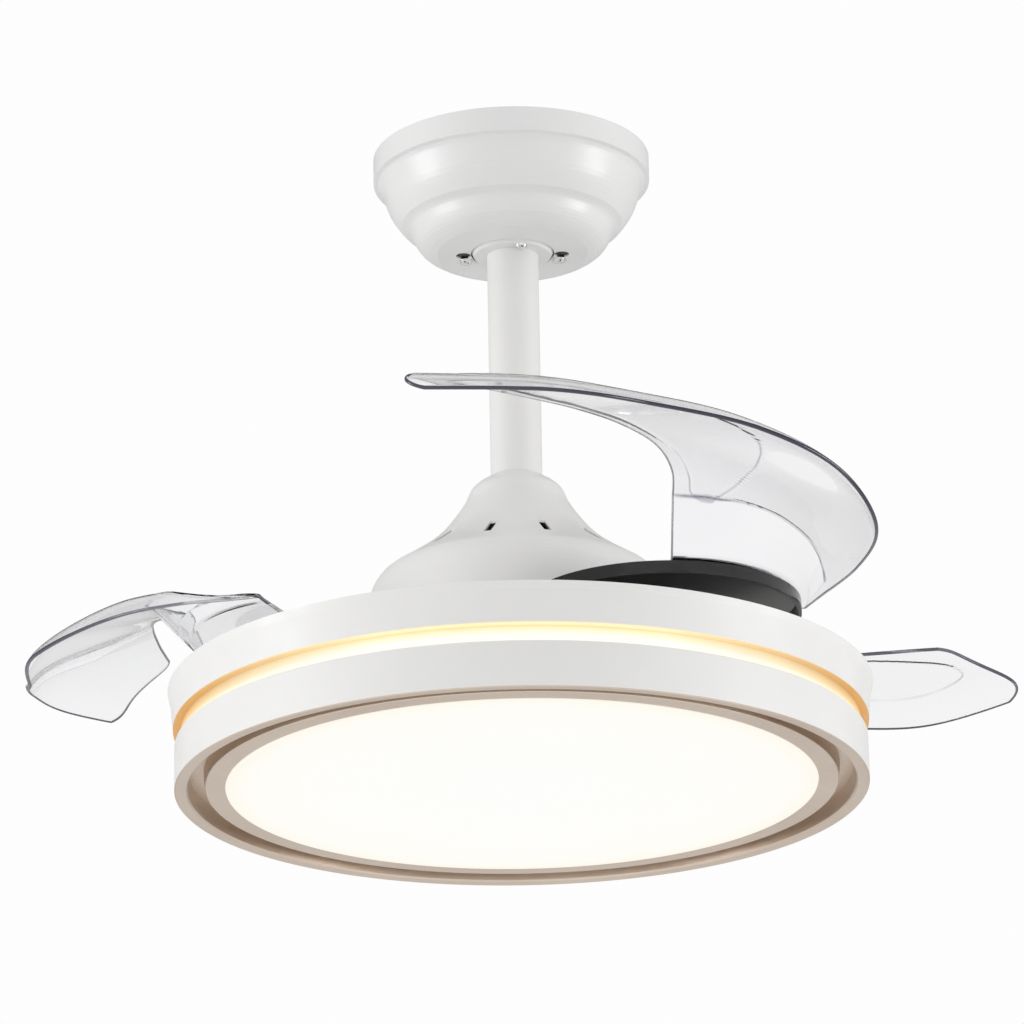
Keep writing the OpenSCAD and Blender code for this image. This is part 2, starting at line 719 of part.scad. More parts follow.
module tray_outline(inset_by, z, h) {
  for (k = [0 : 2]) rotate([0, 0, lobe_turns[k]]) translate([pivot_ring, 0, z])
    cylinder(r = lobe_radii[k] - inset_by, h = h, $fn = 128);
  disc(pivot_ring - hub_inset - inset_by, z, h);
}

module blade_tray() color(black) {
  difference() {
    tray_outline(0, z_tray_low, tray_h);
    tray_outline(2.5, z_tray_low - 1, tray_h - tray_t + 1);
    disc(shaft_r + 5, z_tray_low, tray_h + 1);
    at_pivots() disc(post_r + fit, z_tray_low, tray_h + 1);
    at_pivots() stop_place() disc(stop_r + fit, z_tray_low, tray_h + 1);
    around(6, tray_screw_circle, 30) disc(2.2, z_tray_low, tray_h + 1);
  }
}

module tray_screws() color(steel) {
  around(6, tray_screw_circle, 30) translate([0, 0, z_tray - tray_t]) mirror([0, 0, 1])
    screw(4, 2.2, 2.1, tray_t + motor_wall);
}

module at_pivots() {
  for (a = lobe_turns) rotate([0, 0, a]) translate([pivot_ring, 0, 0]) children();
}

module stop_place() {
  rotate([0, 0, stop_turn]) translate([stop_ring, 0, 0]) children();
}

module thrust_washers() color(white_gloss) {
  at_pivots() ring(20, post_r + fit, z_tray, washer_t - play / 2);
}

module pivot_posts() color(steel) {
  at_pivots() difference() {
    union() {
      disc(post_r, z_tray - tray_t, z_post - z_tray + tray_t);
      disc(post_r + 4, z_tray - tray_t - 3, 3);
    }
    disc(2.1, z_post - 12, 13);
  }
}

module pivot_caps() color(steel) {
  at_pivots() ring(cap_r, 2.2, z_post, cap_t);
}

module pivot_screws() color(chrome) {
  at_pivots() translate([0, 0, z_post + cap_t]) screw(5.5, 3.4, 2, cap_t + 9);
}

module stop_pins() color(steel) {
  at_pivots() stop_place() {
    disc(stop_r, z_tray - tray_t, tray_t + washer_t + pad_t + 2);
    disc(stop_r + 2, z_tray - tray_t - 2, 2);
  }
}

spring_z = z_post - wire_d / 2 - spring_turns * spring_pitch - 0.1;
spring_steps = 8;
function spring_point(turn) =
  [spring_r * cos(360 * turn), spring_r * sin(360 * turn), spring_z + spring_pitch * turn];
spring_path = concat(
  [[spring_r, -16, spring_z], [spring_r, -8, spring_z]],
  [for (k = [0 : spring_turns * spring_steps]) spring_point(k / spring_steps)]);
echo(spring_gap = min([for (k = [0 : spring_steps - 1])
  norm(spring_point(1 + k / spring_steps) - spring_point(k / spring_steps)) - wire_d]));

module return_springs() color(steel) {
  at_pivots() tube(spring_path, wire_d / 2);
}

// ---------- blades ----------

function wing_point(p) =
  let (d = root_r + p[0] * blade_reach) [d * cos(p[1]), d * sin(p[1]), p[2] + z_tray];
function root_turn(s) = wing_outer[0][1] + (wing_inner[0][1] - wing_outer[0][1]) * s;
function on_circle(r, s, z) = [r * cos(root_turn(s)), r * sin(root_turn(s)), z];

pad_mid = z_pad + pad_t / 2;

// The wing's middle surface between two edges: u runs from root to tip, s from
// the outer to the inner edge
function wing_at(outer, inner, u, s) =
  let (edge = abs(2 * s - 1),
       v = u * (1 - edge_hollow * (1 - edge * edge) - edge_round * pow(edge, 10)),
       line = curve_at(outer, v) * (1 - s) + curve_at(inner, v) * s,
       chord = outer[0] * (1 - s) + inner[0] * s,
       bow = on_circle(root_r, s, 0) - [chord[0], chord[1], 0],
       fade = pow(max(0, 1 - v / 0.45), 2),
       rise = camber * (1 - s) * (1 - exp(-s / 0.12)),
       flat = line + bow * fade + [0, 0, rise],
       step = min(1, (norm([flat[0], flat[1]]) - step_r) / step_w))
  [flat[0], flat[1], pad_mid + (flat[2] - pad_mid) * step];

function wing_grid(outer, inner) = concat(
  [[for (j = [0 : wing_cols]) on_circle(pad_r - 8, j / wing_cols, pad_mid)]],
  [[for (j = [0 : wing_cols]) on_circle(step_r, j / wing_cols, pad_mid)]],
  [for (i = [0 : wing_rows])
    [for (j = [0 : wing_cols]) wing_at(outer, inner, i / wing_rows, j / wing_cols)]]);

function grid_normal(g, i, j) =
  let (a = g[min(i + 1, len(g) - 1)][j] - g[max(i - 1, 0)][j],
       b = g[i][min(j + 1, len(g[0]) - 1)] - g[i][max(j - 1, 0)],
       n = unit(cross(a, b)))
  n[2] < 0 ? -n : n;

// A closed sheet of even thickness on both sides of a grid of points
module sheet_on(g, t) {
  rows = len(g);
  cols = len(g[0]);
  size = rows * cols;
  points = [for (side = [1, -1], i = [0 : rows - 1], j = [0 : cols - 1])
    g[i][j] + side * t / 2 * grid_normal(g, i, j)];
  faces_top = [for (i = [0 : rows - 2], j = [0 : cols - 2])
    let (a = i * cols + j) each [[a, a + cols, a + cols + 1], [a, a + cols + 1, a + 1]]];
  faces_low = [for (f = faces_top) [f[2] + size, f[1] + size, f[0] + size]];
  rim = concat([for (j = [0 : cols - 1]) j],
               [for (i = [1 : rows - 1]) i * cols + cols - 1],
               [for (j = [cols - 2 : -1 : 0]) (rows - 1) * cols + j],
               [for (i = [rows - 2 : -1 : 1]) i * cols]);
  faces_rim = [for (k = [0 : len(rim) - 1])
    let (a = rim[k], b = rim[(k + 1) % len(rim)]) each [[a, b, b + size], [a, b + size, a + size]]];
  polyhedron(points, concat(faces_top, faces_low, faces_rim));
}

// A blade in its own place: pivot on the Z axis, swing at the middle of its open end
module blade(outer, inner) {
  outer_points = [for (p = outer) wing_point(p)];
  inner_points = [for (p = inner) wing_point(p)];
  difference() {
    union() {
      sheet_on(wing_grid(outer_points, inner_points), blade_t);
      disc(pad_r, z_pad, pad_t);
      disc(boss_r, z_pad, boss_h);
    }
    disc(bush_r + fit, z_pad - 1, boss_h + 2);
    stop_slot();
  }
}

// The stop pin runs in this slot, whose ends set the blade's travel
function turn_of(a, r) = [r * cos(a), r * sin(a)];
module stop_slot() {
  start = stop_turn + first_lobe - swing_out - 1;
  end = stop_turn + first_lobe - swing_in + 1;
  w = stop_r + free;
  outline = concat(
    [for (k = [0 : 20]) turn_of(start + (end - start) * k / 20, stop_ring + w)],
    [for (a = [15 : 15 : 165]) turn_of(end, stop_ring) + w * turn_of(end + a, 1)],
    [for (k = [20 : -1 : 0]) turn_of(start + (end - start) * k / 20, stop_ring - w)],
    [for (a = [195 : 15 : 345]) turn_of(start, stop_ring) + w * turn_of(start + a, 1)]);
  translate([0, 0, z_pad - 1]) linear_extrude(pad_t + 2) polygon(outline);
}

module bush() {
  ring(bush_r, post_r + fit, z_pad, boss_h);
  ring(bush_r + 3, post_r + fit, z_boss, 1);
}

// Puts a blade on lobe k (0 to 2), turned to its drawn swing
module on_lobe(k) {
  rotate([0, 0, lobe_turns[k]]) translate([pivot_ring, 0, 0])
    rotate([0, 0, -first_lobe + swings[k]]) children();
}

module blade_1() color(clear_blade) on_lobe(0) blade(wing_outer, wing_inner);
module blade_2() color(clear_blade) on_lobe(1) blade(slim_outer, slim_inner);
module blade_3() color(clear_blade) on_lobe(2) blade(wing_outer, wing_inner);
module blade_bush_1() color(bronze) on_lobe(0) bush();
module blade_bush_2() color(bronze) on_lobe(1) bush();
module blade_bush_3() color(bronze) on_lobe(2) bush();

hanger_bracket();
remote_receiver();
terminal_block();
canopy();
canopy_screws();
hanger_ball();
hanger_pin();
ball_screw();
downrod();
rod_coupling();
coupling_pin();
coupling_screws();
bell_cover();
motor_shaft();
stator_core();
stator_coils();
bearing_upper();
bearing_lower();
carrier_plate();
lamp_nuts();
upper_pan();
carrier_screws();
led_driver();
glow_ring();
glow_led_strip();
lower_band();
band_screws();
led_board();
led_chips();
trim_ring();
diffuser();
rotor_upper_shell();
rotor_lower_shell();
rotor_magnets();
rotor_screws();
blade_tray();
tray_screws();
thrust_washers();
pivot_posts();
pivot_caps();
pivot_screws();
stop_pins();
return_springs();
blade_1();
blade_2();
blade_3();
blade_bush_1();
blade_bush_2();
blade_bush_3();
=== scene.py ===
import bpy
import bmesh
import json
import math
import numpy as np
from mathutils import Matrix, Vector


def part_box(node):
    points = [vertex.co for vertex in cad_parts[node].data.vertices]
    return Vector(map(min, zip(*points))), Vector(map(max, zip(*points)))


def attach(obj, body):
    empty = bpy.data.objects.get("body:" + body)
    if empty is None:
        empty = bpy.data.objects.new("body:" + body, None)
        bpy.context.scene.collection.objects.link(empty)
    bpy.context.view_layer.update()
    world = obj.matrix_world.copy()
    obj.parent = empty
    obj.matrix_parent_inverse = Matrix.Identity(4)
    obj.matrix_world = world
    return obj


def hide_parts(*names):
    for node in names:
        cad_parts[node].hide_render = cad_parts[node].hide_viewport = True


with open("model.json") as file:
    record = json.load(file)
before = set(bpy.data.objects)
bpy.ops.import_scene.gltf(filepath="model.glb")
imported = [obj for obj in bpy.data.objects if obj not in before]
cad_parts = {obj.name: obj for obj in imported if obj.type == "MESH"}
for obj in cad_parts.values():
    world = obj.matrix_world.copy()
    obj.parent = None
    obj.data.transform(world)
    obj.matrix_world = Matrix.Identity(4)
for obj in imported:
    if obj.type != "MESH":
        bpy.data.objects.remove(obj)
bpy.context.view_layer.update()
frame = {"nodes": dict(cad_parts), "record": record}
nodes = frame["nodes"]
scene = bpy.context.scene


# ---------- camera ----------

# Fitted to the photo's ellipses: the drum's rims, the diffuser and the canopy
CAMERA_LENS = 212.3
CAMERA_AT = (-0.0038, -4.168, -1.734)
CAMERA_RISE = 19.256                     # degrees above level
CAMERA_ROLL = -1.0


def make_camera():
    data = bpy.data.cameras.new("photo_camera")
    data.sensor_width = 36.0
    data.lens = CAMERA_LENS
    data.clip_start = 0.05
    data.clip_end = 60.0
    cam = bpy.data.objects.new("photo_camera", data)
    cam.location = CAMERA_AT
    tilt = Matrix.Rotation(math.radians(90 + CAMERA_RISE), 4, "X")
    roll = Matrix.Rotation(math.radians(CAMERA_ROLL), 4, "Z")
    cam.rotation_euler = (tilt @ roll).to_euler()
    scene.collection.objects.link(cam)
    scene.camera = cam


make_camera()


# ---------- node helpers ----------

def color_socket(sockets):
    return [s for s in sockets if s.type == "RGBA"][0]


class Mat:
    """A procedural material: one Principled shader and the nodes that feed it."""

    def __init__(self, name, color, rough, metal=0.0, **sockets):
        self.m = bpy.data.materials.new(name)
        self.m.use_nodes = True
        self.t = self.m.node_tree
        self.p = self.t.nodes["Principled BSDF"]
        self.out = self.t.nodes["Material Output"]
        self.p.inputs["Base Color"].default_value = (*color, 1)
        self.p.inputs["Roughness"].default_value = rough
        self.p.inputs["Metallic"].default_value = metal
        for key, value in sockets.items():
            self.p.inputs[key.replace("_", " ")].default_value = value
        self.coords = None

    def node(self, kind, **values):
        n = self.t.nodes.new(kind)
        for key, value in values.items():
            setattr(n, key, value)
        return n

    def link(self, a, b):
        self.t.links.new(a, b)

    def feed(self, socket, value):
        self.link(value, self.p.inputs[socket])

    def fed(self, socket):
        """What feeds a socket of the shader now."""
        return self.p.inputs[socket].links[0].from_socket

    def place(self):
        """Object coordinates in metres."""
        if self.coords is None:
            self.coords = self.node("ShaderNodeTexCoord").outputs["Object"]
        return self.coords

    def radius(self):
        """Distance from the fan's axis, and the three parts of the place."""
        n = self.node("ShaderNodeSeparateXYZ")
        self.link(self.place(), n.inputs[0])
        x, y, z = n.outputs
        squares = self.math("ADD", self.math("MULTIPLY", x, x), self.math("MULTIPLY", y, y))
        return self.math("SQRT", squares), x, y, z

    def stretched(self, scale):
        n = self.node("ShaderNodeMapping")
        n.inputs["Scale"].default_value = scale
        self.link(self.place(), n.inputs["Vector"])
        return n.outputs["Vector"]

    def noise(self, scale, detail=2.0, rough=0.5, vector=None):
        n = self.node("ShaderNodeTexNoise")
        n.inputs["Scale"].default_value = scale
        n.inputs["Detail"].default_value = detail
        n.inputs["Roughness"].default_value = rough
        self.link(self.place() if vector is None else vector, n.inputs["Vector"])
        return n.outputs["Fac"]

    def spread(self, value, low, high, from_low=0.3, from_high=0.7):
        """Maps from_low..from_high to low..high, clamped. The defaults suit a noise."""
        n = self.node("ShaderNodeMapRange")
        n.inputs["From Min"].default_value = from_low
        n.inputs["From Max"].default_value = from_high
        n.inputs["To Min"].default_value = low
        n.inputs["To Max"].default_value = high
        self.link(value, n.inputs["Value"])
        return n.outputs["Result"]

    def math(self, how, a, b=None):
        n = self.node("ShaderNodeMath", operation=how)
        for socket, value in zip(n.inputs, (a, b)):
            if value is None:
                continue
            if isinstance(value, (int, float)):
                socket.default_value = value
            else:
                self.link(value, socket)
        return n.outputs["Value"]

    def mix(self, fac, a, b, blend="MIX"):
        n = self.node("ShaderNodeMix", data_type="RGBA", blend_type=blend)
        ends = {"A": a, "B": b}
        for socket in n.inputs:
            if socket.type == "RGBA" and socket.name in ends:
                value = ends[socket.name]
                if isinstance(value, tuple):
                    socket.default_value = (*value, 1)
                else:
                    self.link(value, socket)
            elif socket.name == "Factor" and socket.type == "VALUE":
                if isinstance(fac, (int, float)):
                    socket.default_value = fac
                else:
                    self.link(fac, socket)
        return color_socket(n.outputs)

    def ramp(self, value, stops):
        n = self.node("ShaderNodeValToRGB")
        while len(n.color_ramp.elements) < len(stops):
            n.color_ramp.elements.new(0.5)
        for e, (at, color) in zip(n.color_ramp.elements, stops):
            e.position = at
            e.color = (*color, 1)
        self.link(value, n.inputs["Fac"])
        return n.outputs["Color"]

    def bump(self, height, distance, strength=1.0):
        n = self.node("ShaderNodeBump")
        n.inputs["Strength"].default_value = strength
        n.inputs["Distance"].default_value = distance
        self.link(height, n.inputs["Height"])
        self.feed("Normal", n.outputs["Normal"])

    def glows(self, color, strength):
        self.feed("Emission Color", color)
        self.p.inputs["Emission Strength"].default_value = strength


def shade(color, share):
    return tuple(c * share for c in color)


def painted(name, color, rough, grain=1500.0, depth=0.00003, **sockets):
    """Sprayed and baked enamel: orange peel, faint clouding, slightly uneven gloss."""
    m = Mat(name, color, rough, **sockets)
    m.feed("Base Color", m.mix(m.spread(m.noise(9.0, 3.0), 0, 1), shade(color, 0.965), color))
    m.feed("Roughness", m.spread(m.noise(40.0, 3.0), rough * 0.85, rough * 1.2))
    m.bump(m.noise(grain, 2.0), depth)
    return m


def metal(name, color, rough, grain=(1, 1, 1), grain_scale=900.0, depth=0.00002, **sockets):
    """Bare metal with a directed or even fine grain and small stains."""
    m = Mat(name, color, rough, 1.0, **sockets)
    fine = m.noise(grain_scale, 3.0, vector=m.stretched(grain))
    m.feed("Base Color", m.mix(m.spread(m.noise(60.0, 4.0), 0, 1), shade(color, 0.82), color))
    m.feed("Roughness", m.spread(fine, rough * 0.7, rough * 1.35))
    m.bump(fine, depth)
    return m


def turned(name, color, rough, lines=2600.0, depth=0.00001, **sockets):
    """Lathe-turned metal: rings round the fan's axis."""
    m = Mat(name, color, rough, 1.0, **sockets)
    r, _, _, z = m.radius()
    wave = m.math("SINE", m.math("MULTIPLY", m.math("ADD", r, z), lines * 6.2832))
    fine = m.noise(1400.0, 2.0)
    m.feed("Base Color", m.mix(m.spread(m.noise(14.0, 3.0), 0, 1), shade(color, 0.93), color))
    m.feed("Roughness", m.spread(m.noise(300.0, 2.0), rough * 0.85, rough * 1.2))
    m.bump(m.math("ADD", m.math("MULTIPLY", wave, 0.5), fine), depth)
    return m


# ---------- materials ----------

materials = {}

BAND_WHITE = (0.845, 0.84, 0.825)
BAND_ROUGH = 0.40
BAND_GRAIN = 1100.0
DIFFUSER_R = 0.2145
RING_FOOT_Z, RING_TOP_Z = -0.4578, -0.4455     # the lit ring between the bands
UPPER_PAN_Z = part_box("upper_pan")[0][2]
# The ring's glow and the band's foot are painted pale in front and amber at the sides as shade; the
# change runs over this range of |x|
SIDE_FROM, SIDE_TO = 0.10, 0.235
FAR = 20.0                                     # mm, where a line on a blade has long ended
LINE_ZERO = 100.0                              # value of a blade's line attribute on the line


def side_shade_share(m, x):
    return m.spread(m.math("ABSOLUTE", x), 0, 1, SIDE_FROM, SIDE_TO)


def make_enamels():
    materials["white_metal"] = painted("white_metal", BAND_WHITE, BAND_ROUGH, BAND_GRAIN).m
    materials["white_gloss"] = painted("white_gloss", (0.82, 0.82, 0.81), 0.3, 1800.0, 0.00001).m
    materials["nylon"] = painted("nylon", (0.78, 0.77, 0.74), 0.5, 1200.0, 0.00002,
                                 Subsurface_Weight=0.1).m
    materials["board"] = painted("board", (0.8, 0.81, 0.8), 0.4, 2500.0, 0.00001).m

    # the canopy's outside is enamelled; its inside, the faces turned upward, is painted near black
    # as shade
    m = painted("canopy_white", (0.82, 0.82, 0.815), 0.34, 900.0, 0.00002,
                Coat_Weight=0.12, Coat_Roughness=0.22)
    facing = m.node("ShaderNodeSeparateXYZ")
    m.link(m.node("ShaderNodeTexCoord").outputs["Normal"], facing.inputs[0])
    inside_shade = m.spread(facing.outputs[2], 0, 1, 0.04, 0.10)
    m.feed("Base Color", m.mix(inside_shade, m.fed("Base Color"), (0.035, 0.035, 0.037)))
    materials["canopy_white"] = m.m

    # the upper band's lowest edge catches the glowing ring's light
    m = painted("white_lit_foot", BAND_WHITE, BAND_ROUGH, BAND_GRAIN)
    _, x, _, z = m.radius()
    near = m.spread(z, 1, 0, UPPER_PAN_Z + 0.0003, UPPER_PAN_Z + 0.0016)
    amber = m.mix(side_shade_share(m, x), (0.93, 0.80, 0.50), (0.62, 0.34, 0.10))
    m.feed("Base Color", m.mix(m.spread(near, 0, 1, 0.3, 0.9), m.fed("Base Color"), amber))
    m.glows(m.mix(m.spread(near, 0, 1, 0.4, 1.0), (0.0, 0.0, 0.0), amber), 0.3)
    materials["white_lit_foot"] = m.m

    m = Mat("black_gloss", (0.008, 0.008, 0.009), 0.09)
    m.feed("Base Color", m.mix(m.spread(m.noise(25.0, 3.0), 0, 1),
                               (0.006, 0.006, 0.007), (0.012, 0.012, 0.013)))
    m.feed("Roughness", m.spread(m.noise(90.0, 4.0), 0.06, 0.16))
    m.bump(m.noise(160.0, 2.0), 0.00003)
    materials["black_gloss"] = m.m


def make_metals():
    for name, color, rough, grain, grain_scale, depth in (
            ("chrome", (0.86, 0.86, 0.88), 0.07, (1, 1, 1), 400.0, 0.000004),
            ("zinc_steel", (0.60, 0.61, 0.63), 0.34, (1, 3, 1), 350.0, 0.00002),
            ("dark_steel", (0.09, 0.09, 0.095), 0.42, (1, 3, 1), 350.0, 0.00002),
            ("bronze", (0.50, 0.35, 0.17), 0.36, (1, 1, 1), 1500.0, 0.00002),
            ("magnet", (0.10, 0.10, 0.11), 0.5, (1, 1, 1), 2200.0, 0.00004),
            ("spring_steel", (0.42, 0.42, 0.44), 0.3, (3, 3, 0.5), 500.0, 0.00002)):
        materials[name] = metal(name, color, rough, grain, grain_scale, depth).m
    materials["cast_alu"] = turned("cast_alu", (0.70, 0.71, 0.72), 0.36, 700.0, 0.00003).m

    # satin anodised ring, with faint turning marks
    m = Mat("champagne", (0.72, 0.62, 0.53), 0.34, 0.85)
    r, _, _, z = m.radius()
    rings = m.math("SINE", m.math("MULTIPLY", m.math("ADD", r, z), 9000.0))
    m.feed("Base Color", m.mix(m.spread(m.noise(8.0, 3.0), 0, 1),
                               (0.69, 0.575, 0.475), (0.76, 0.645, 0.54)))
    m.feed("Roughness", m.spread(m.noise(220.0, 3.0), 0.28, 0.42))
    m.bump(m.math("ADD", m.math("MULTIPLY", rings, 0.4), m.noise(1800.0, 2.0)), 0.000012)
    materials["champagne"] = m.m

    # varnished winding: painted shade darkens the grooves between its turns
    m = Mat("copper", (0.60, 0.27, 0.10), 0.28, 1.0, Coat_Weight=0.6, Coat_Roughness=0.1)
    r, _, _, z = m.radius()
    along = m.math("ADD", r, m.math("MULTIPLY", z, 0.15))
    turns = m.math("SINE", m.math("MULTIPLY", along, 7800.0))
    m.feed("Base Color", m.mix(m.spread(turns, 0, 1, -0.8, 0.8),
                               (0.30, 0.11, 0.04), (0.72, 0.34, 0.13)))
    m.bump(turns, 0.0002)
    materials["copper"] = m.m


def make_lit_materials():
    m = Mat("led", (0.85, 0.72, 0.30), 0.4)
    m.feed("Base Color", m.mix(m.spread(m.noise(500.0, 2.0), 0, 1),
                               (0.80, 0.62, 0.20), (0.9, 0.8, 0.45)))
    m.p.inputs["Emission Color"].default_value = (1.0, 0.85, 0.5, 1)
    m.p.inputs["Emission Strength"].default_value = 1.0
    materials["led"] = m.m

    # lit opal sheet: nearly even, a touch warmer towards its edge, with a faint flow in the plastic
    m = Mat("diffuser", (0.28, 0.28, 0.275), 0.5)
    r, _, _, _ = m.radius()
    warm = m.ramp(m.spread(r, 0, 1, 0.0, DIFFUSER_R), [
        (0.0, (1.0, 0.998, 0.985)), (0.72, (1.0, 0.992, 0.955)),
        (0.93, (1.0, 0.978, 0.90)), (1.0, (1.0, 0.94, 0.80))])
    flow = m.mix(m.spread(m.noise(5.0, 3.0), 0, 1), (0.985, 0.985, 0.985), (1.0, 1.0, 1.0))
    m.glows(m.mix(1.0, warm, flow, blend="MULTIPLY"), 0.71)
    materials["diffuser"] = m.m

    # the lit ring between the bands: its glow is painted amber under the upper band as the recess's
    # shade, near white at its foot
    m = Mat("glow", (0.3, 0.28, 0.25), 0.5)
    _, x, _, z = m.radius()
    up = m.spread(z, 0, 1, RING_FOOT_Z, RING_TOP_Z)
    front = m.ramp(up, [
        (0.0, (0.98, 0.975, 0.94)), (0.45, (0.985, 0.97, 0.92)), (0.62, (0.98, 0.945, 0.72)),
        (0.78, (0.98, 0.90, 0.58)), (0.9, (0.97, 0.82, 0.46)), (1.0, (0.93, 0.66, 0.30))])
    side = m.ramp(up, [
        (0.0, (0.99, 0.95, 0.84)), (0.30, (0.98, 0.86, 0.58)), (0.55, (0.90, 0.58, 0.20)),
        (1.0, (0.52, 0.27, 0.07))])
    m.glows(m.mix(side_shade_share(m, x), front, side), 0.86)
    m.feed("Base Color", m.mix(m.spread(m.noise(30.0, 2.0), 0, 1),
                               (0.18, 0.17, 0.15), (0.22, 0.20, 0.17)))
    materials["glow"] = m.m


def make_blade_materials():
    # clear moulded plastic, with dark lines painted along its root step and raised panel as the
    # shade these creases show
    m = Mat("clear_blade", (0.955, 0.957, 0.968), 0.03, Transmission_Weight=1.0, IOR=1.42)
    m.feed("Roughness", m.spread(m.noise(35.0, 3.0), 0.015, 0.05))
    body = m.mix(m.spread(m.noise(6.0, 2.0), 0, 1), (0.945, 0.947, 0.96), (0.965, 0.966, 0.975))
    streak = m.spread(m.noise(22.0, 2.0), 0.25, 1.0, 0.4, 0.6)
    for name, half_width, color in (("panel_shade_line", 0.9, (0.60, 0.60, 0.64)),
                                    ("step_shade_line", 1.1, (0.22, 0.20, 0.27))):
        where = m.node("ShaderNodeAttribute", attribute_name=name).outputs["Fac"]
        off = m.math("ABSOLUTE", m.math("SUBTRACT", where, LINE_ZERO))
        drawn = m.spread(off, 1, 0, half_width * 0.3, half_width)
        body = m.mix(m.math("MULTIPLY", streak, drawn), body, color)
    m.feed("Base Color", body)
    m.bump(m.noise(28.0, 2.0), 0.0002, 0.04)
    # a clear sheet throws almost no shadow
    clear = m.node("ShaderNodeBsdfTransparent")
    clear.inputs["Color"].default_value = (0.9, 0.9, 0.91, 1)
    both = m.node("ShaderNodeMixShader")
    m.link(m.node("ShaderNodeLightPath").outputs["Is Shadow Ray"], both.inputs[0])
    m.link(m.p.outputs[0], both.inputs[1])
    m.link(clear.outputs[0], both.inputs[2])
    m.link(both.outputs[0], m.out.inputs["Surface"])
    materials["clear_blade"] = m.m

    # its rim, painted dark and faintly violet as shade: the light that is caught in the sheet comes
    # out dark there
    m = Mat("blade_rim", (0.10, 0.085, 0.13), 0.08, Coat_Weight=0.5, Coat_Roughness=0.05)
    tone = m.node("ShaderNodeAttribute", attribute_name="rim_shade").outputs["Fac"]
    m.feed("Base Color", m.ramp(tone, [
        (0.0, (0.55, 0.545, 0.57)), (0.5, (0.16, 0.15, 0.19)), (1.0, (0.030, 0.023, 0.050))]))
    m.feed("Alpha", m.spread(tone, 0.5, 0.97, 0.0, 1.0))
    m.feed("Roughness", m.spread(m.noise(120.0, 2.0), 0.05, 0.14))
    materials["blade_rim"] = m.m


make_enamels()
make_metals()
make_lit_materials()
make_blade_materials()

SLOT_OF = {s["node"]: s["material_slot"] for s in frame["record"]["subparts"]}
# the hanger bracket gets dark steel, a dark part put in to paint shade into the canopy's keyholes
OWN_MATERIAL = {"upper_pan": "white_lit_foot", "hanger_bracket": "dark_steel"}
for name, obj in nodes.items():
    obj.data.materials.clear()
    obj.data.materials.append(materials[OWN_MATERIAL.get(name, SLOT_OF[name])])


# ---------- clear blades: sizes, in mm and degrees ----------

MM = 0.001
Z_TRAY = -386.5                          # top face of the blade tray
PIVOT_RING = 145.0                       # the pivots' distance from the fan's axis
LOBE_TURNS = (-46.0, -166.0, 74.0)       # directions of the three pivots
SWINGS = (0.0, -5.0, 19.0)               # the blades' swings in the photo

# A blade's own frame: the pivot on the Z axis, swing 0.
# Columns: share of the reach, direction, height above the tray
WING_OUTER = ((0, 12, 3.6), (0.175, -26, 2.8), (0.365, -44, 8), (0.475, -59.5, 28.5),
              (0.55, -75.5, 42.5), (0.655, -90.5, 46.5), (0.86, -103.5, 42.5), (1, -119, 45.5))
WING_INNER = ((0, -87, 36.8), (0.125, -87.5, 51), (0.24, -92, 61), (0.335, -99, 68),
              (0.42, -106, 73), (0.51, -111.5, 75), (0.62, -116, 75.5), (0.74, -120, 75))
# The second blade is slimmer near its root and its outer edge rises later
SLIM_OUTER = ((0, 12, 3.6), (0.16, -36, 6.5), (0.42, -68, 8), (0.59, -87, 13.5),
              (0.735, -95.5, 31), (0.85, -101.5, 39.5), (0.93, -108.5, 41), (0.965, -118, 41))
SLIM_INNER = ((0, -87, 36), (0.095, -90.5, 46.5), (0.21, -95.2, 54), (0.31, -101, 61),
              (0.405, -106.5, 67), (0.495, -111, 70.5), (0.6, -115.5, 72), (0.72, -120, 72))
ROOT_R = 105.0                           # where the wing's edges start
REACH = 270.0
WING_LENGTH = 0.996                      # the sheet stops just short of the solid's tip
TIP_BOW = 0.012                          # how far the tip's middle draws back
TIP_CORNERS = 0.035                      # how far its corners do
ROOT_BLEND = 0.45                        # share of the length that leads over from the round root
CAMBER = 12.0
CAMBER_RISE = 0.12                       # share of the width over which the camber builds up
BLADE_T = 2.9
WING_ROWS, WING_COLS = 250, 64
ROW_CROWDING = 1.25                      # closer rows near the root
COLUMN_CROWDING = 0.03                   # closer columns near both edges
RIM_STEPS = 6

# The flat round pad on the pivot, its boss, and the slot that the stop pin runs in
WASHER_T = 0.8
PAD_T = 4.0
PAD_R = 60.0
PAD_CHAMFER = 0.7
PAD_STEPS = 128                          # steps round the pad
PAD_MID = Z_TRAY + WASHER_T + PAD_T / 2
PAD_RADII = np.linspace(54, 92, 9)       # rows of the sheet that lie flat
STEP_RADII = (94, 96, 98.0, 100.0, 102.0)
BORE_R, BOSS_R, BOSS_H = 8.1, 13.1, 16.0
BORE_CHAMFER, BOSS_CHAMFER, BOSS_FILLET = 0.3, 0.8, 2.5
STOP_TURN, STOP_RING, STOP_HALF = 150.0, 42.0, 3.5
STOP_STEPS = 48                          # steps along the slot
SWING_OUT, SWING_IN, STOP_PLAY = 20.0, -85.0, 1.0

# The step from the pad up to the wing: its foot, and the radius of its crisp top edge by
# direction. Where the next blade passes over, it is no steeper than the solid's
FOOT_R = 97.0
STEP_TOP = np.array((
    (-95, 118), (-84, 118), (-78, 119), (-72, 121), (-66, 125), (-59, 127), (-51, 127.5),
    (-41, 125), (-33, 123), (-27, 121), (-19, 119), (-11, 118), (-5, 118), (2, 118), (30, 118)),
    float)
BEAD_H, SLIM_BEAD_H = 0.8, 0.2
BEAD_LIFT = 10.0                         # the bead is whole where the step is this high
BEAD_FADE = 18.0                         # degrees over which it runs out
BEAD_FROM, BEAD_TO = -91.0, -16.0
LINE_LIFT = 6.0                          # the dark line is drawn where the step is higher

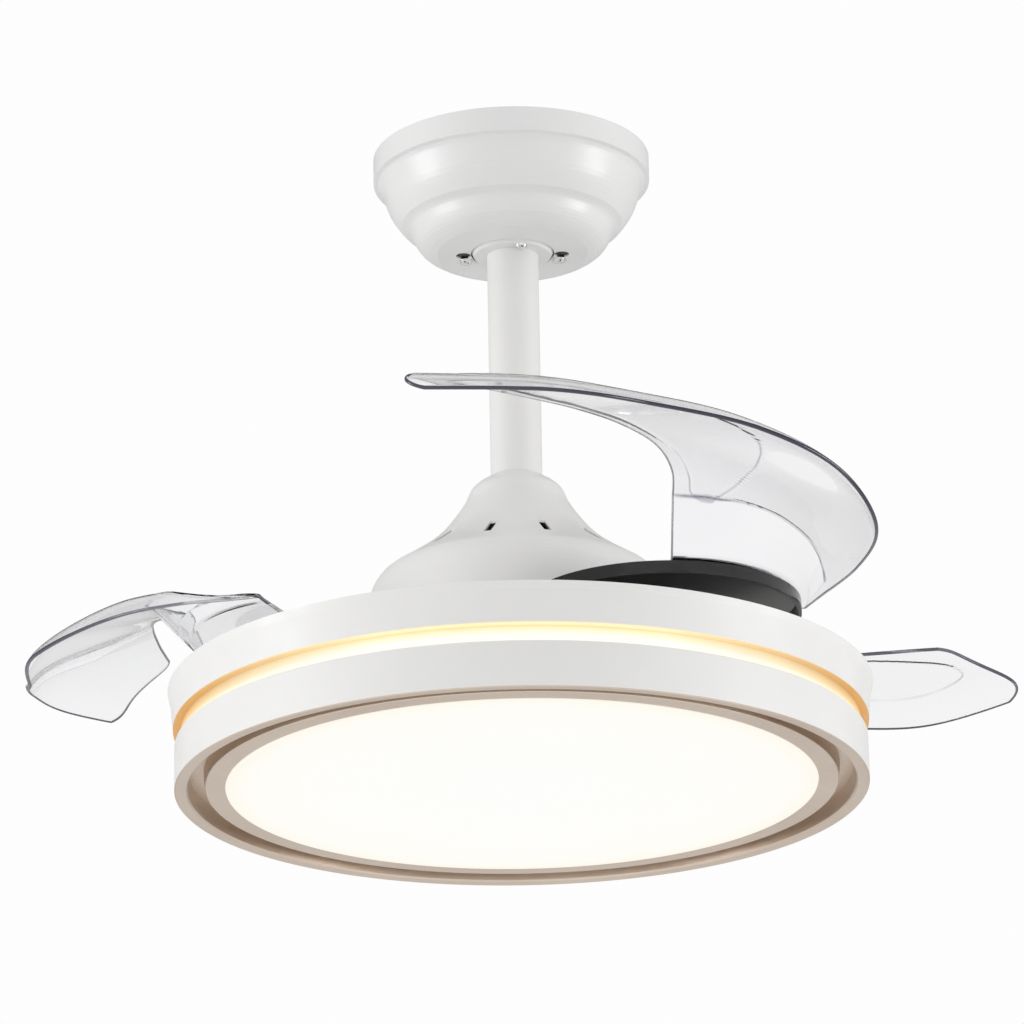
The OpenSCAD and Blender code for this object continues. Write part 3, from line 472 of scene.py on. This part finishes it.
# Outline of the shallow raised panel, as places (u, s) on the wing
PANEL = ((0.075, 0.83), (0.14, 0.75), (0.25, 0.637), (0.337, 0.512), (0.40, 0.41), (0.455, 0.345),
         (0.55, 0.31), (0.65, 0.29), (0.75, 0.265), (0.84, 0.26), (0.905, 0.30), (0.945, 0.40),
         (0.955, 0.52), (0.945, 0.66), (0.91, 0.77), (0.84, 0.85), (0.7, 0.895), (0.5, 0.915),
         (0.3, 0.925), (0.15, 0.93), (0.075, 0.92))
PANEL_POINTS = 160
PANEL_H = 0.8
PANEL_EDGE = 1.4                         # width of its sloped edge

# How far each edge is pulled in for the half-round rim, in halves of the sheet
PULL_OUTER, PULL_INNER, PULL_TIP = 1.4, 1.0, 0.9


# ---------- clear blades: surfaces ----------

def spline(points, u):
    """Catmull-Rom through the rows of points; u from 0 to 1, any shape of array."""
    points = np.asarray(points, float)
    last = len(points) - 1
    k = np.minimum((u * last).astype(int), last - 1)
    t = (u * last - k)[..., None]
    a, b = points[np.maximum(k - 1, 0)], points[k]
    c, d = points[k + 1], points[np.minimum(k + 2, last)]
    return 0.5 * (2 * b + (c - a) * t + (2 * a - 5 * b + 4 * c - d) * t ** 2
                  + (3 * b - a - 3 * c + d) * t ** 3)


def smooth(t):
    t = np.clip(t, 0, 1)
    return t * t * (3 - 2 * t)


def unit(v):
    return v / np.maximum(np.linalg.norm(v, axis=-1, keepdims=True), 1e-9)


def polar_points(rows):
    rows = np.array(rows, float)
    d = ROOT_R + rows[:, 0] * REACH
    a = np.radians(rows[:, 1])
    return np.stack([d * np.cos(a), d * np.sin(a), rows[:, 2] + Z_TRAY], 1)


def root_turn(s):
    """Direction of the root at s; both outlines share their first rows' directions."""
    return np.radians(WING_OUTER[0][1] + (WING_INNER[0][1] - WING_OUTER[0][1]) * s)


def wing(edges, u, s):
    """Middle surface of the wing at arrays u (root to tip) and s (outer to inner edge)."""
    outer, inner = edges
    edge = np.abs(2 * s - 1)
    v = WING_LENGTH * u * (1 - TIP_BOW * (1 - edge ** 2) - TIP_CORNERS * edge ** 10)
    line = spline(outer, v) * (1 - s[..., None]) + spline(inner, v) * s[..., None]
    chord = outer[0] * (1 - s[..., None]) + inner[0] * s[..., None]
    turn = root_turn(s)
    bow = np.stack([ROOT_R * np.cos(turn) - chord[..., 0],
                    ROOT_R * np.sin(turn) - chord[..., 1], 0 * s], -1)
    p = line + bow * (np.maximum(0, 1 - v / ROOT_BLEND) ** 2)[..., None]
    p[..., 2] += CAMBER * (1 - s) * (1 - np.exp(-s / CAMBER_RISE))
    return p


def step_share(p):
    """Share of the step climbed at each point, and its distance past the step's top edge."""
    r = np.hypot(p[..., 0], p[..., 1])
    turn = np.degrees(np.arctan2(p[..., 1], p[..., 0]))
    top = np.interp(turn, STEP_TOP[:, 0], STEP_TOP[:, 1])
    return (r - FOOT_R) / (top - FOOT_R), r - top


def signed_distance(points, outline):
    """Distance of plan points to a closed outline, positive inside."""
    best = np.full(len(points), 1e9)
    inside = np.zeros(len(points), bool)
    for p, q in zip(outline, np.roll(outline, -1, axis=0)):
        d = q - p
        t = np.clip(((points - p) @ d) / max(d @ d, 1e-9), 0, 1)
        best = np.minimum(best, np.hypot(*(points - p - t[:, None] * d).T))
        crosses = (p[1] > points[:, 1]) != (q[1] > points[:, 1])
        with np.errstate(divide="ignore", invalid="ignore"):
            x = p[0] + (points[:, 1] - p[1]) / (q[1] - p[1]) * d[0]
        inside ^= crosses & (points[:, 0] < x)
    return np.where(inside, best, -best)


def blade_grid(edges, panel):
    """Middle surface from under the pad to the tip, as rows x columns of points, and the
    two line attributes: distance past the step's top edge and into the panel."""
    s = np.linspace(0, 1, WING_COLS)
    s = s - COLUMN_CROWDING * np.sin(2 * np.pi * s)
    turn = root_turn(s)
    root_z = wing(edges, 0 * s, s)[:, 2]
    root = [np.stack([r * np.cos(turn), r * np.sin(turn), PAD_MID + 0 * s], -1)
            for r in PAD_RADII]
    root += [np.stack([r * np.cos(turn), r * np.sin(turn), root_z], -1) for r in STEP_RADII]

    u = np.linspace(0, 1, WING_ROWS) ** ROW_CROWDING
    body = wing(edges, *np.meshgrid(u, s, indexing="ij"))
    if panel:
        outline_uv = spline(PANEL + (PANEL[0],), np.linspace(0, 1, PANEL_POINTS, endpoint=False))
        outline = wing(edges, outline_uv[:, 0], outline_uv[:, 1])[:, :2]
        plan = body[..., :2].reshape(-1, 2)
        ridge = signed_distance(plan, outline).reshape(body.shape[:2])
        body[..., 2] += PANEL_H * smooth((ridge + PANEL_EDGE / 2) / PANEL_EDGE)
    else:
        ridge = np.full(body.shape[:2], -FAR)
    grid = np.concatenate([np.array(root), body], 0)
    ridge = np.concatenate([np.full((len(root), WING_COLS), -FAR), ridge], 0)

    share, past = step_share(grid)
    lift = grid[..., 2] - PAD_MID
    grid[..., 2] = PAD_MID + lift * np.clip(share, 0, 1)
    # a fine raised bead along the step's top edge, running out where the next blade passes over
    direction = np.degrees(np.arctan2(grid[..., 1], grid[..., 0]))
    bead = (BEAD_H if panel else SLIM_BEAD_H) * smooth(lift / BEAD_LIFT)
    bead = bead * smooth((BEAD_TO - direction) / BEAD_FADE)
    bead = bead * smooth((direction - BEAD_FROM) / BEAD_FADE)
    grid[..., 2] += bead * np.exp(-past ** 2)
    past = np.where((lift > LINE_LIFT) & panel, past, FAR)
    return grid, LINE_ZERO + np.clip(past, -FAR, FAR), LINE_ZERO + np.clip(ridge, -FAR, FAR)


# ---------- clear blades: meshes ----------

def rim_path(rows, cols):
    """Places (row, column) of the grid once round its edge."""
    return ([(0, j) for j in range(cols)] + [(i, cols - 1) for i in range(1, rows)]
            + [(rows - 1, j) for j in range(cols - 2, -1, -1)]
            + [(i, 0) for i in range(rows - 2, 0, -1)])


def rim_shade(i, j, rows, cols):
    """How dark the rim's painted shade is at a place of the grid, 0 to 1: darkest along the outer
    edge.
    """
    u = max(0.0, (i - (rows - WING_ROWS)) / (WING_ROWS - 1))
    if j == 0:
        darker = 0.75 * float(smooth((u - 0.12) / 0.3))
        return 0.25 + darker - 0.15 * float(smooth((u - 0.8) / 0.2))
    if j == cols - 1:
        return 0.35 + 0.15 * float(smooth((u - 0.4) / 0.4))
    if i == rows - 1:
        return 0.85 - 0.5 * (j / (cols - 1))
    return 0.1


def normals_of(g):
    n = unit(np.cross(np.gradient(g, axis=0), np.gradient(g, axis=1)))
    return np.where(n[..., 2:] < 0, -n, n)


def sheet_mesh(g, marks):
    """Closed sheet round the grid g, with a half-round rim. Rim faces get the second material.
    marks holds the two line attributes."""
    bm = bmesh.new()
    rows, cols = g.shape[:2]
    n = normals_of(g)
    half = BLADE_T / 2
    path = rim_path(rows, cols)
    count = len(path)
    pts = np.array([g[i, j] for i, j in path])
    nrm = np.array([n[i, j] for i, j in path])
    ahead = np.roll(pts, -1, 0) - np.roll(pts, 1, 0)
    out = unit(np.cross(ahead, nrm))
    centre = g.reshape(-1, 3).mean(0)
    if np.mean(np.sum(out * (pts - centre), 1)) < 0:
        out = -out
    tone = bm.verts.layers.float.new("rim_shade")
    lines = [bm.verts.layers.float.new(name) for name in ("step_shade_line", "panel_shade_line")]
    top = [[bm.verts.new(g[i, j] + n[i, j] * half) for j in range(cols)] for i in range(rows)]
    low = [[bm.verts.new(g[i, j] - n[i, j] * half) for j in range(cols)] for i in range(rows)]
    for i in range(rows - 1):
        for j in range(cols - 1):
            bm.faces.new((top[i][j], top[i + 1][j], top[i + 1][j + 1], top[i][j + 1]))
            bm.faces.new((low[i][j + 1], low[i + 1][j + 1], low[i + 1][j], low[i][j]))
    loops = [[top[i][j] for i, j in path]]
    for k in range(1, RIM_STEPS):
        a = math.pi / 2 - math.pi * k / RIM_STEPS
        p = pts + nrm * (half * math.sin(a)) + out * (half * math.cos(a))
        loops.append([bm.verts.new(q) for q in p])
    loops.append([low[i][j] for i, j in path])
    for k, (i, j) in enumerate(path):
        value = rim_shade(i, j, rows, cols)
        for ring in loops:
            ring[k][tone] = value
    for line, mark in zip(lines, marks):
        for side in (top, low):
            for i in range(rows):
                for j in range(cols):
                    side[i][j][line] = mark[i, j]
    for ring, after in zip(loops, loops[1:]):
        for k in range(count):
            m = (k + 1) % count
            f = bm.faces.new((ring[k], ring[m], after[m], after[k]))
            f.material_index = 1
    return bm


def make_object(name, bm, mats, scale=MM):
    bmesh.ops.recalc_face_normals(bm, faces=bm.faces)
    mesh = bpy.data.meshes.new(name)
    bmesh.ops.scale(bm, vec=(scale,) * 3, verts=bm.verts)
    bm.to_mesh(mesh)
    bm.free()
    for m in mats:
        mesh.materials.append(m)
    mesh.polygons.foreach_set("use_smooth", [True] * len(mesh.polygons))
    obj = bpy.data.objects.new(name, mesh)
    scene.collection.objects.link(obj)
    return obj


def lathe(profile, steps):
    """A ring turned round the Z axis from a closed list of (radius, height)."""
    bm = bmesh.new()
    rings = []
    for k in range(steps):
        a = 2 * math.pi * k / steps
        rings.append([bm.verts.new((r * math.cos(a), r * math.sin(a), z)) for r, z in profile])
    for k in range(steps):
        a, b = rings[k], rings[(k + 1) % steps]
        for i in range(len(profile)):
            m = (i + 1) % len(profile)
            bm.faces.new((a[i], b[i], b[m], a[m]))
    return bm


def blade_wing(edges, panel):
    g, past, ridge = blade_grid(edges, panel)
    half = BLADE_T / 2
    g[:, 0] += unit(g[:, 1] - g[:, 0]) * half * PULL_OUTER
    g[:, -1] += unit(g[:, -2] - g[:, -1]) * half * PULL_INNER
    g[-1] += unit(g[-2] - g[-1]) * half * PULL_TIP
    return sheet_mesh(g, (past, ridge))


def blade_pad():
    z0 = Z_TRAY + WASHER_T
    z1 = z0 + PAD_T
    boss_top = z0 + BOSS_H
    c = PAD_CHAMFER
    profile = [(BORE_R, z0 + BORE_CHAMFER), (BORE_R + BORE_CHAMFER, z0),
               (PAD_R - c, z0), (PAD_R, z0 + c), (PAD_R, z1 - c), (PAD_R - c, z1)]
    for k in range(6):
        a = math.radians(90 * k / 5)
        profile.append((BOSS_R + BOSS_FILLET * (1 - math.sin(a)),
                        z1 + BOSS_FILLET * (1 - math.cos(a))))
    profile += [(BOSS_R, boss_top - BOSS_CHAMFER), (BOSS_R - BOSS_CHAMFER, boss_top),
                (BORE_R + BORE_CHAMFER, boss_top), (BORE_R, boss_top - BORE_CHAMFER)]
    return lathe(profile, PAD_STEPS)


def stop_slot_cutter():
    """The curved slot that the stop pin runs in."""
    bm = bmesh.new()
    start = STOP_TURN + LOBE_TURNS[0] - SWING_OUT - STOP_PLAY
    end = STOP_TURN + LOBE_TURNS[0] - SWING_IN + STOP_PLAY
    arc = [start + (end - start) * k / STOP_STEPS for k in range(STOP_STEPS + 1)]

    def at(a, r):
        return np.array([r * math.cos(math.radians(a)), r * math.sin(math.radians(a))])

    outline = [at(a, STOP_RING + STOP_HALF) for a in arc]
    outline += [at(end, STOP_RING) + STOP_HALF * at(end + a, 1) for a in range(10, 180, 10)]
    outline += [at(a, STOP_RING - STOP_HALF) for a in arc[::-1]]
    outline += [at(start, STOP_RING) + STOP_HALF * at(start + a, 1) for a in range(190, 360, 10)]
    low = [bm.verts.new((*p, Z_TRAY - 2)) for p in outline]
    top = [bm.verts.new((*p, Z_TRAY + 9)) for p in outline]
    n = len(outline)
    for k in range(n):
        bm.faces.new((low[k], low[(k + 1) % n], top[(k + 1) % n], top[k]))
    bm.faces.new(top)
    bm.faces.new(low[::-1])
    return bm


def boolean(obj, other, how):
    mod = obj.modifiers.new(how.lower(), "BOOLEAN")
    mod.operation = how
    mod.object = other
    mod.solver = "MANIFOLD"
    depsgraph = bpy.context.evaluated_depsgraph_get()
    mesh = bpy.data.meshes.new_from_object(obj.evaluated_get(depsgraph), depsgraph=depsgraph)
    obj.modifiers.clear()
    old = obj.data
    obj.data = mesh
    bpy.data.meshes.remove(old)
    bpy.data.objects.remove(other)


def blade_mesh(edges, panel):
    """One blade in its own frame: the wing joined with its pad, less the stop slot."""
    mats = [materials["clear_blade"], materials["blade_rim"]]
    base = make_object("blade_base", blade_wing(edges, panel), mats)
    pad = make_object("pad_base", blade_pad(), mats)
    cut = make_object("slot_base", stop_slot_cutter(), mats)
    boolean(pad, cut, "DIFFERENCE")
    boolean(base, pad, "UNION")
    mesh = base.data
    mesh.polygons.foreach_set("use_smooth", [True] * len(mesh.polygons))
    mesh.set_sharp_from_angle(angle=math.radians(50))
    bpy.data.objects.remove(base)
    return mesh


def make_blades():
    full = blade_mesh((polar_points(WING_OUTER), polar_points(WING_INNER)), True)
    slim = blade_mesh((polar_points(SLIM_OUTER), polar_points(SLIM_INNER)), False)
    for k, mesh in enumerate((full, slim, full)):
        copy = mesh.copy()
        copy.name = f"clear_blade_{k + 1}"
        lobe = math.radians(LOBE_TURNS[k])
        own = math.radians(LOBE_TURNS[k] - LOBE_TURNS[0] + SWINGS[k])
        c, s = math.cos(own), math.sin(own)
        co = np.zeros(len(copy.vertices) * 3)
        copy.vertices.foreach_get("co", co)
        co = co.reshape(-1, 3)
        x = co[:, 0] * c - co[:, 1] * s + PIVOT_RING * MM * math.cos(lobe)
        y = co[:, 0] * s + co[:, 1] * c + PIVOT_RING * MM * math.sin(lobe)
        copy.vertices.foreach_set("co", np.stack([x, y, co[:, 2]], 1).ravel())
        copy.update()
        obj = bpy.data.objects.new(f"clear_blade_{k + 1}", copy)
        scene.collection.objects.link(obj)
        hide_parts(f"blade_{k + 1}")
        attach(obj, f"blade_{k + 1}")


make_blades()


# ---------- floor, light ----------

FLOOR_Z = -2.5
FLOOR_HALF = 14.0
FLOOR_TILES = 24
SOFTBOX_X, SOFTBOX_Y, SOFTBOX_Z = 3.1, -0.66, -0.6
SOFTBOX_SIZE = 1.4
SOFTBOX_AIM = (0, 0, -0.3)

# Brightness by how far up a ray looks: 0 straight down, 0.5 level, 1 straight up
ROOM = ((0.0, 0.73), (0.3, 0.72), (0.5, 0.72), (0.7, 0.80), (1.0, 0.84))
ROOM_REFLECTED = ((0.0, 0.80), (0.3, 0.72), (0.46, 0.60), (0.56, 0.55), (0.8, 0.30), (1.0, 0.15))
ROOM_THROUGH = ((0.0, 0.55), (0.35, 0.80), (0.48, 0.93), (0.8, 0.95), (0.93, 0.75), (1.0, 0.55))
FRONT_SHEEN, BACK_SHEEN = 1.9, 0.70
BACKDROP = 0.985


def make_floor():
    bm = bmesh.new()
    step = FLOOR_HALF * 2 / FLOOR_TILES
    ends = [-FLOOR_HALF + i * step for i in range(FLOOR_TILES + 1)]
    rows = [[bm.verts.new((x, y, 0)) for y in ends] for x in ends]
    for i in range(FLOOR_TILES):
        for j in range(FLOOR_TILES):
            bm.faces.new((rows[i][j], rows[i + 1][j], rows[i + 1][j + 1], rows[i][j + 1]))
    m = Mat("floor_paint", (0.86, 0.86, 0.86), 0.7)
    m.feed("Base Color", m.mix(m.spread(m.noise(1.5, 3.0), 0, 1),
                               (0.85, 0.85, 0.85), (0.87, 0.87, 0.87)))
    m.bump(m.noise(400.0, 2.0), 0.0001)
    floor = make_object("floor", bm, [m.m], 1.0)
    floor.location.z = FLOOR_Z


def softbox(name, x, power):
    data = bpy.data.lights.new(name, "AREA")
    data.energy = power
    data.shape = "RECTANGLE"
    data.size = SOFTBOX_SIZE
    data.size_y = SOFTBOX_SIZE
    at = Vector((x, SOFTBOX_Y, SOFTBOX_Z))
    obj = bpy.data.objects.new(name, data)
    obj.location = at
    obj.rotation_euler = (Vector(SOFTBOX_AIM) - at).to_track_quat("-Z", "Y").to_euler()
    obj.visible_camera = False
    scene.collection.objects.link(obj)


def make_world():
    """Each kind of ray sees the room's brightness by how far up it looks; the camera sees an
    even white backdrop."""
    world = bpy.data.worlds.new("studio")
    scene.world = world
    world.use_nodes = True
    t = world.node_tree
    path = t.nodes.new("ShaderNodeLightPath")
    coords = t.nodes.new("ShaderNodeTexCoord")
    split = t.nodes.new("ShaderNodeSeparateXYZ")
    t.links.new(coords.outputs["Generated"], split.inputs[0])

    def mapped(value, low, high, from_low, from_high):
        n = t.nodes.new("ShaderNodeMapRange")
        n.inputs["From Min"].default_value = from_low
        n.inputs["From Max"].default_value = from_high
        n.inputs["To Min"].default_value = low
        n.inputs["To Max"].default_value = high
        t.links.new(value, n.inputs["Value"])
        return n.outputs["Result"]

    lift = mapped(split.outputs[2], 0, 1, -1, 1)

    def room(stops):
        ramp = t.nodes.new("ShaderNodeValToRGB")
        t.links.new(lift, ramp.inputs["Fac"])
        while len(ramp.color_ramp.elements) < len(stops):
            ramp.color_ramp.elements.new(0.5)
        for e, (at, v) in zip(ramp.color_ramp.elements, stops):
            e.position = at
            e.color = (v, v, v, 1)
        return ramp.outputs["Color"]

    def choose(kind, other, chosen):
        mix = t.nodes.new("ShaderNodeMix")
        mix.data_type = "RGBA"
        a, b = [socket for socket in mix.inputs if socket.type == "RGBA"]
        t.links.new(path.outputs[kind], mix.inputs[0])
        t.links.new(other, a)
        if isinstance(chosen, tuple):
            b.default_value = chosen
        else:
            t.links.new(chosen, b)
        return color_socket(mix.outputs)

    # reflections find the room brighter in front than at the sides and behind
    sheen = t.nodes.new("ShaderNodeVectorMath")
    sheen.operation = "SCALE"
    t.links.new(room(ROOM_REFLECTED), sheen.inputs[0])
    t.links.new(mapped(split.outputs[1], FRONT_SHEEN, BACK_SHEEN, -1.0, 0.2),
                sheen.inputs["Scale"])
    color = choose("Is Glossy Ray", room(ROOM), sheen.outputs[0])
    color = choose("Is Transmission Ray", color, room(ROOM_THROUGH))
    color = choose("Is Camera Ray", color, (BACKDROP, BACKDROP, BACKDROP, 1))
    back = t.nodes["Background"]
    t.links.new(color, back.inputs["Color"])
    back.inputs["Strength"].default_value = 1.0


make_world()
make_floor()
softbox("softbox_left", -SOFTBOX_X, 34)
softbox("softbox_right", SOFTBOX_X, 32)
scene.view_settings.view_transform = "Standard"
